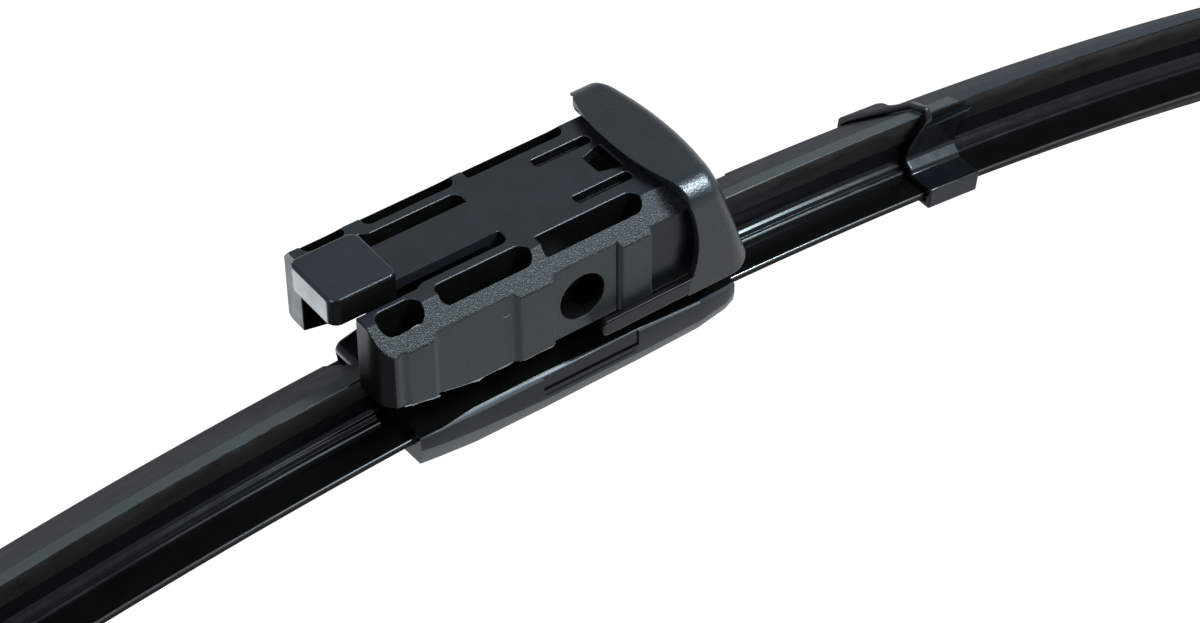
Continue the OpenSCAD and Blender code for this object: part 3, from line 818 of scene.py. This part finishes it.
# %% [markdown]
# In the photograph the deck is black, because it mirrors the dark underside of the adapter. The roll
# above the flange shows one thin bright line, the flange's lower slope is lighter, and its right end
# is matt. Mirroring alone does not give that here, so it is painted: the deck and the block's ends
# get painted shade, the lower slope a lighter painted reflection, and the right end an even painted
# grey in place of its highlight.

# %% Base edges and finishes
roll_skin = finish("roll_skin", (2, 3, 4), (5, 8, 10), 0.1, 0.08, 6.0, (0.2, 0.28))
# The lower slope's lighter colour is a painted reflection.
slope_painted_reflection = finish("slope_painted_reflection", (20, 24, 27), (28, 32, 36), 0.1, 0.42, 6.0, (0.2, 0.28))
# The deck's black is painted shade.
deck_painted_shade = finish("deck_painted_shade", (2, 2, 2), (4, 4, 4), 0.1, 0.0, 6.0, (0.4, 0.5))
# back_skin is the spoiler back's matt grey; on the base's right end and the clip's far faces it is
# painted light.
back_skin = finish("back_skin", (25, 28, 31), (30, 33, 37), 0.3, 0.02, 5.0, (0.6, 0.7))
BLOCK, DECK, SLOPE, ROLL, RIGHT_END = range(5)


def base_edges(middle, turn, convex):
    """Tight inside corners and panels, no second bevel on the block, wider ones along the flange."""
    if not convex or (-4.9 < middle.x < 8.2 and -20.3 < middle.z < -17.6 and abs(middle.y) > 8.5):
        return 0.03
    if abs(middle.y) < 4.6 and middle.z > -14.5:
        return 0.0
    return 0.2 if abs(middle.y) > 7.9 and middle.z > -18.6 else 0.14


def base_finish(n, c):
    outer = abs(c.y) > 7.5
    # The deck and the block's ends get painted shade.
    if (n.z > 0.78 and c.z < -15.5) or (abs(c.x) > 20.5 and n.z < 0.1 and not outer):
        return DECK
    # The lower slope gets its lighter painted reflection.
    if outer and n.z < -0.08:
        return SLOPE
    if outer and n.z > 0.25:
        # The right end takes the matt grey, an even painted grey in place of its highlight.
        return RIGHT_END if c.x > 17 else ROLL
    return BLOCK


soften(base, 0.14, base_edges)
paint(base, base_finish)
finish_piece(base, "blade", "base_plastic",
             [base_skin, deck_painted_shade, slope_painted_reflection, roll_skin, back_skin], "base_bridge")

# %% [markdown]
# The pin is a plain steel rod, pressed into the base and free in the adapter. Only its end shows in
# the side hole, so a round prism with a small bevel is enough.

# %% Pivot pin
pin_skin = finish("pin_skin", (36, 36, 37), (52, 52, 53), 0.2, 0.5, 12.0, (0.35, 0.5), metallic=1.0)
pin = prism("pin", circle(0, PIVOT_Z, 2.48, 48), -5.9, 5.9, "y")
soften(pin, 0.3)
finish_piece(pin, "blade", "pin_steel", [pin_skin], "pivot_pin")

# %% [markdown]
# ## Along the blade
# Two strips of spring steel, painted black, give the blade its curve. They are swept round the arc
# with nearly square corners. The bright line in the photograph is the rounding of the outer top
# edge, so that rounding mirrors the most, and the side below it hardly at all.

# %% Rails
rail_coat = finish("rail_coat", (2, 2, 2), (4, 4, 4), 0.02, 0.08, 2.0, (0.12, 0.2))
rail_edge = finish("rail_edge", (8, 8, 8), (12, 12, 12), 0.02, 0.7, 2.0, (0.12, 0.2))
rail_side = finish("rail_side", (8, 7, 6), (13, 12, 10), 0.1, 0.04, 2.0, (0.4, 0.5))
END = HALF - 1.2
LONG_STEP = 2.5
for side, node in ((-1, "rail_near"), (1, "rail_far")):
    y0, y1 = span(side, 1.3, 7.5)
    strip = rounded([(y0, -0.9, 0.2), (y1, -0.9, 0.2), (y1, 0, 0.2), (y0, 0, 0.2)], 3)
    rail = swept(node.replace("rail", "strip"), strip, -END, END, LONG_STEP)
    paint(rail, lambda n, c: 0 if n.y * side < 0.2 else (1 if n.z > 0.2 else 2))
    finish_piece(rail, "blade", "rail_steel", [rail_coat, rail_edge, rail_side], node)

# %% [markdown]
# The spoiler is one rubber section, extruded and cut to length. It leans over the near side and ends
# in a thin lip, which presses the blade down in the wind. The lip's flash is a little ragged, as on
# any trimmed rubber, and the grooves below it are smoother than the crest.

# %% Spoiler section
# The crest's lighter finish is painted light, for the lit band along the lip.
crest_painted_light = finish("crest_painted_light", (30, 34, 36), (38, 42, 44), 0.4, 0.1, 5.0, (0.45, 0.6))
# The hollow's brown colour is a painted sheen.
hollow_painted_sheen = finish("hollow_painted_sheen", (11, 10, 10), (23, 20, 19), 0.1, 0.3, 3.0, (0.26, 0.4))
groove_skin = finish("groove_skin", (3, 3, 4), (6, 7, 8), 0.05, 0.14, 3.0, (0.14, 0.24))
CREST, HOLLOW, GROOVE, FAR_SLOPE = range(4)
SPOILER = rounded([
    (-3.94, 0), (-3.94, 0.55, 0.15), (-3.6, 0.85, 0.2), (-3.25, 0.5, 0.12), (-3.05, 1.1, 0.15),
    (-2.72, 1.3, 0.2), (-2.52, 1.8, 0.4), (-2.62, 3.2), (-2.9, 4.3), (-3.35, 5.6), (-3.92, 6.9),
    (-4.4, 8.1), (-4.62, 8.8, 0.1), (-4.95, 9.12, 0.05), (-4.8, 9.3, 0.08), (-3, 8.75, 0.4),
    (7.2, 0.45, 0.15), (7.2, 0), (2.2, 0), (2.2, 0.95), (-2.2, 0.95), (-2.2, 0)], 4)


def ragged(s, y, h):
    """The lip's flash is lower here and there, and never above its drawn height."""
    if h > 9.0:
        much = 1 if s < 0 else 0.35
        coarse, fine = noise.noise(Vector((s * 0.9, 3, 0))), noise.noise(Vector((s * 3.1, 7, 0)))
        h -= much * (0.08 * abs(coarse) + 0.15 * abs(fine))
        y += much * 0.06 * abs(noise.noise(Vector((s * 1.7, 5, 0))))
    return y, h


print("spoiler section", len(SPOILER), "points")

# %% [markdown]
# Both spoilers are swept from the same section and differ only in where they start and end. The
# right one is trimmed on its far side, where the shroud's edge comes close to it.

# %% Spoilers
def spoiler_finish(n, c):
    height = math.hypot(c.x, c.z - RAIL_Z + CURVE_R) - CURVE_R
    if n.y > 0.45:
        return FAR_SLOPE
    # The crest gets the lighter finish as painted light, and beyond x 57 the unlit matt back finish
    # instead.
    if n.y > -0.3 and height > 8:
        return FAR_SLOPE if c.x > 57 else CREST
    # The hollow band gets its painted brown sheen.
    return HOLLOW if 4.2 < height < 8.6 else GROOVE


for name, start, end in (("spoiler_left", -END, -22.3), ("spoiler_right", 22.3, END)):
    spoiler = swept(name + "_rubber", SPOILER, start, end, 0.8, ragged)
    if start > 0:
        cut(spoiler, prism("trim", [(21, 6.0), (32.5, 6.0), (32.5, 10), (21, 10)], -23, -14, "z"))
    paint(spoiler, spoiler_finish)
    finish_piece(spoiler, "blade", "spoiler_rubber", [crest_painted_light, hollow_painted_sheen, groove_skin, back_skin],
                 name, angle=30)

# %% [markdown]
# The wiping rubber hangs between the rails. Its head is held above them, a narrow neck lets the lip
# flip over when the blade turns back, and the lip wipes the glass. It is the same from side to side,
# so half of its section is drawn and mirrored.

# %% Wiping rubber
rubber_skin = finish("rubber_skin", (6, 6, 6), (12, 12, 12), 0.2, 0.2, 5.0, (0.45, 0.6))
WIPER_HALF = [
    (2, 0.8, 0.2), (2, 0.05), (1.2, 0.05), (1.2, -0.95), (4, -0.95, 0.1), (4, -1.65, 0.2),
    (3.5, -2.15, 0.3), (0.6, -2.35, 0.3), (0.6, -3.25, 0.3), (2.6, -3.85, 0.3), (2.6, -4.45, 0.3),
    (1.2, -4.95, 0.5), (0.45, -7.0), (0.4, -8.2, 0.1)]
wiper_section = rounded(WIPER_HALF + [(-y, *rest) for y, *rest in WIPER_HALF[::-1]], 4)
wiper = swept("wiping_edge", wiper_section, -END, END, LONG_STEP)
finish_piece(wiper, "blade", "wiper_rubber", [rubber_skin], "wiper_rubber", angle=30)

# %% [markdown]
# ## Clip and end caps
# The clip is a plastic band round the blade, with its claws under the rails. Its section follows the
# blade's outline at an even distance, so `moved` pushes that outline outwards. Over the spoiler's
# ridge the band is cut narrow, and a short wing is left on the far side.

# %% Clip
GRIP = [(-5, -1.0), (-7.6, -1.0), (-7.6, 0.1), (-4.3, 0.1), (-4.05, 0.9), (-3.1, 1.5), (-2.75, 2.4),
        (-3.1, 4.2), (-4, 6.7), (-4.75, 8.3), (-5.02, 9.1), (-4.8, 9.5), (-2.95, 8.92), (7.3, 0.6),
        (7.6, 0.3), (7.6, -1.0), (5, -1.0)]
WAIST = [(60, -8), (60, 12), (56.3, 12), (56.3, 9.2), (56.2, 8.0), (55.8, 6.8), (55.0, 5.4), (54.0, 4.0),
         (52.9, 2.4), (52.2, 0.5), (52.1, -1.5), (52.1, -8)]
SHARPEST_TURN = 0.35


def moved(path, t):
    """The path pushed outwards by t."""
    out = []
    for i, here in enumerate(path):
        a, b = Vector(path[max(i - 1, 0)]), Vector(path[min(i + 1, len(path) - 1)])
        here = Vector(here)
        n0 = (here - a).normalized() if i else (b - here).normalized()
        n1 = (b - here).normalized() if i < len(path) - 1 else n0
        n0, n1 = Vector((-n0.y, n0.x)), Vector((-n1.y, n1.x))
        out.append(tuple(here + t * (n0 + n1) / max(1 + n0.dot(n1), SHARPEST_TURN)))
    return out


def band(t):
    """A band of thickness t round the blade, open below."""
    return GRIP + moved(GRIP, t)[::-1]


clip = swept("claw_clip", band(0.8), 50.35, 57.85, LONG_STEP)
# Behind the lip the cut goes right down, and in front of it only to just below the lip.
cut(clip, prism("waist", [(x, max(y, -3.3)) for x, y in WAIST], -24, 0, "z"))
cut(clip, prism("lip_gap", [(x, min(y, -3.2)) for x, y in WAIST], -12.9, 0, "z"))
soften(clip, 0.25, segments=3)
# The clip's far-facing faces take the lighter matt grey of the spoiler's back as painted light.
paint(clip, lambda n, c: 1 if n.y > 0.35 and abs(n.x) < 0.5 else 0)
finish_piece(clip, "blade", "clip_plastic", [clip_skin, back_skin], "spoiler_clip", angle=30)

# %% [markdown]
# The end caps lie outside the photograph. They are made as such caps usually are: the clip's band,
# thicker and longer, with a wall at the end that keeps the rubber and the rails in.

# %% End caps
CAP_LENGTH, CAP_WALL = 14, 1.1
for name, side in (("end_cap_left", -1), ("end_cap_right", 1)):
    cap = swept(name + "_shell", band(CAP_WALL), *span(side, HALF - CAP_LENGTH, HALF), LONG_STEP)
    end_wall = swept("end_wall", moved(GRIP, CAP_WALL - 0.01), *span(side, HALF - CAP_WALL, HALF), 1)
    combine(cap, "UNION", end_wall)
    soften(cap, 0.3, segments=3)
    finish_piece(cap, "blade", "cap_plastic", [clip_skin], name, angle=30)

# %% [markdown]
# ## Floor and light
# The photograph's background is pure white, which a lit floor alone would not reach. So the floor
# shows white to the camera and to glossy rays and keeps a little of its own shading, which leaves a
# faint shadow. It lies below the lowest point of the blade at every pose.

# %% Floor
FLOOR_SIZE, FLOOR_DROP, FLOOR_WHITE = 6, 0.04, 0.93


def any_view(nodes, links, path):
    """One for camera, glossy and transmission rays, else zero."""
    last = path.outputs["Is Camera Ray"]
    for kind in ("Is Glossy Ray", "Is Transmission Ray"):
        either = nodes.new("ShaderNodeMath")
        either.operation = "MAXIMUM"
        links.new(last, either.inputs[0])
        links.new(path.outputs[kind], either.inputs[1])
        last = either.outputs["Value"]
    return last


def floor_paper():
    paper = bpy.data.materials.new("floor_paper")
    paper.use_nodes = True
    nodes, links = paper.node_tree.nodes, paper.node_tree.links
    matt, glow = nodes["Principled BSDF"], nodes.new("ShaderNodeEmission")
    mix, path, share = (nodes.new("ShaderNode" + kind) for kind in ("MixShader", "LightPath", "Math"))
    matt.inputs["Base Color"].default_value = (0.9, 0.9, 0.9, 1)
    matt.inputs["Roughness"].default_value = 0.9
    glow.inputs["Strength"].default_value = 1.0
    share.operation = "MULTIPLY"
    share.inputs[1].default_value = FLOOR_WHITE
    links.new(any_view(nodes, links, path), share.inputs[0])
    links.new(share.outputs["Value"], mix.inputs["Fac"])
    links.new(matt.outputs["BSDF"], mix.inputs[1])
    links.new(glow.outputs["Emission"], mix.inputs[2])
    links.new(mix.outputs["Shader"], nodes["Material Output"].inputs["Surface"])
    return paper


bpy.context.view_layer.update()
lowest = cad_box[0][2]
bpy.ops.mesh.primitive_plane_add(size=FLOOR_SIZE, location=(0, 0, lowest - FLOOR_DROP))
floor = bpy.context.object
floor.name = "floor"
floor.data.materials.append(floor_paper())
print("floor at", round(floor.location.z, 4))

# %% [markdown]
# The studio is a white room. The world gives the soft light, and is plain white for the same rays as
# the floor.

# %% World
world = bpy.data.worlds.new("studio")
bpy.context.scene.world = world
world.use_nodes = True
nodes, links = world.node_tree.nodes, world.node_tree.links
soft, white = nodes["Background"], nodes.new("ShaderNodeBackground")
path, mix = nodes.new("ShaderNodeLightPath"), nodes.new("ShaderNodeMixShader")
soft.inputs["Color"].default_value, soft.inputs["Strength"].default_value = (0.97, 0.99, 1.0, 1), 0.9
white.inputs["Strength"].default_value = 1.0
links.new(any_view(nodes, links, path), mix.inputs["Fac"])
links.new(soft.outputs["Background"], mix.inputs[1])
links.new(white.outputs["Background"], mix.inputs[2])
links.new(mix.outputs["Shader"], nodes["World Output"].inputs["Surface"])
print("world strength", soft.inputs["Strength"].default_value)

# %% [markdown]
# Four lamps draw the highlights of the photograph. The key lights the ends that face left, one soft
# lamp makes the shoulders and edges shine, a small one puts the highlight on the shroud's corner, and
# a weak one lights the adapter's left end.

# %% Lamps
# name: place, target, size and power
LAMPS = {"key": ((-0.5, -0.1, 0.6), (0, 0, 0), 0.3, 5),
         "shoulder": ((0.4, -0.6, 0.56), (0, 0, 0), 0.46, 10),
         "corner": ((0.22, -0.2, 0.335), (0.016, -0.009, 0), 0.12, 6.5),
         "left_edge": ((-0.075, 0.07, -0.065), (-0.026, 0, 0), 0.04, 0.02)}
LAMP_COLOR = (0.9, 0.97, 1.0)
for name, (place, target, size, power) in LAMPS.items():
    data = bpy.data.lights.new(name, "AREA")
    data.shape, data.size, data.energy, data.color = "SQUARE", size, power, LAMP_COLOR
    lamp = bpy.data.objects.new(name, data)
    lamp.location = place
    lamp.rotation_euler = (Vector(target) - Vector(place)).to_track_quat("-Z", "Y").to_euler()
    lamp.visible_camera = False
    bpy.context.scene.collection.objects.link(lamp)
bpy.context.scene.view_settings.view_transform = "Standard"
print("lamps:", list(LAMPS))
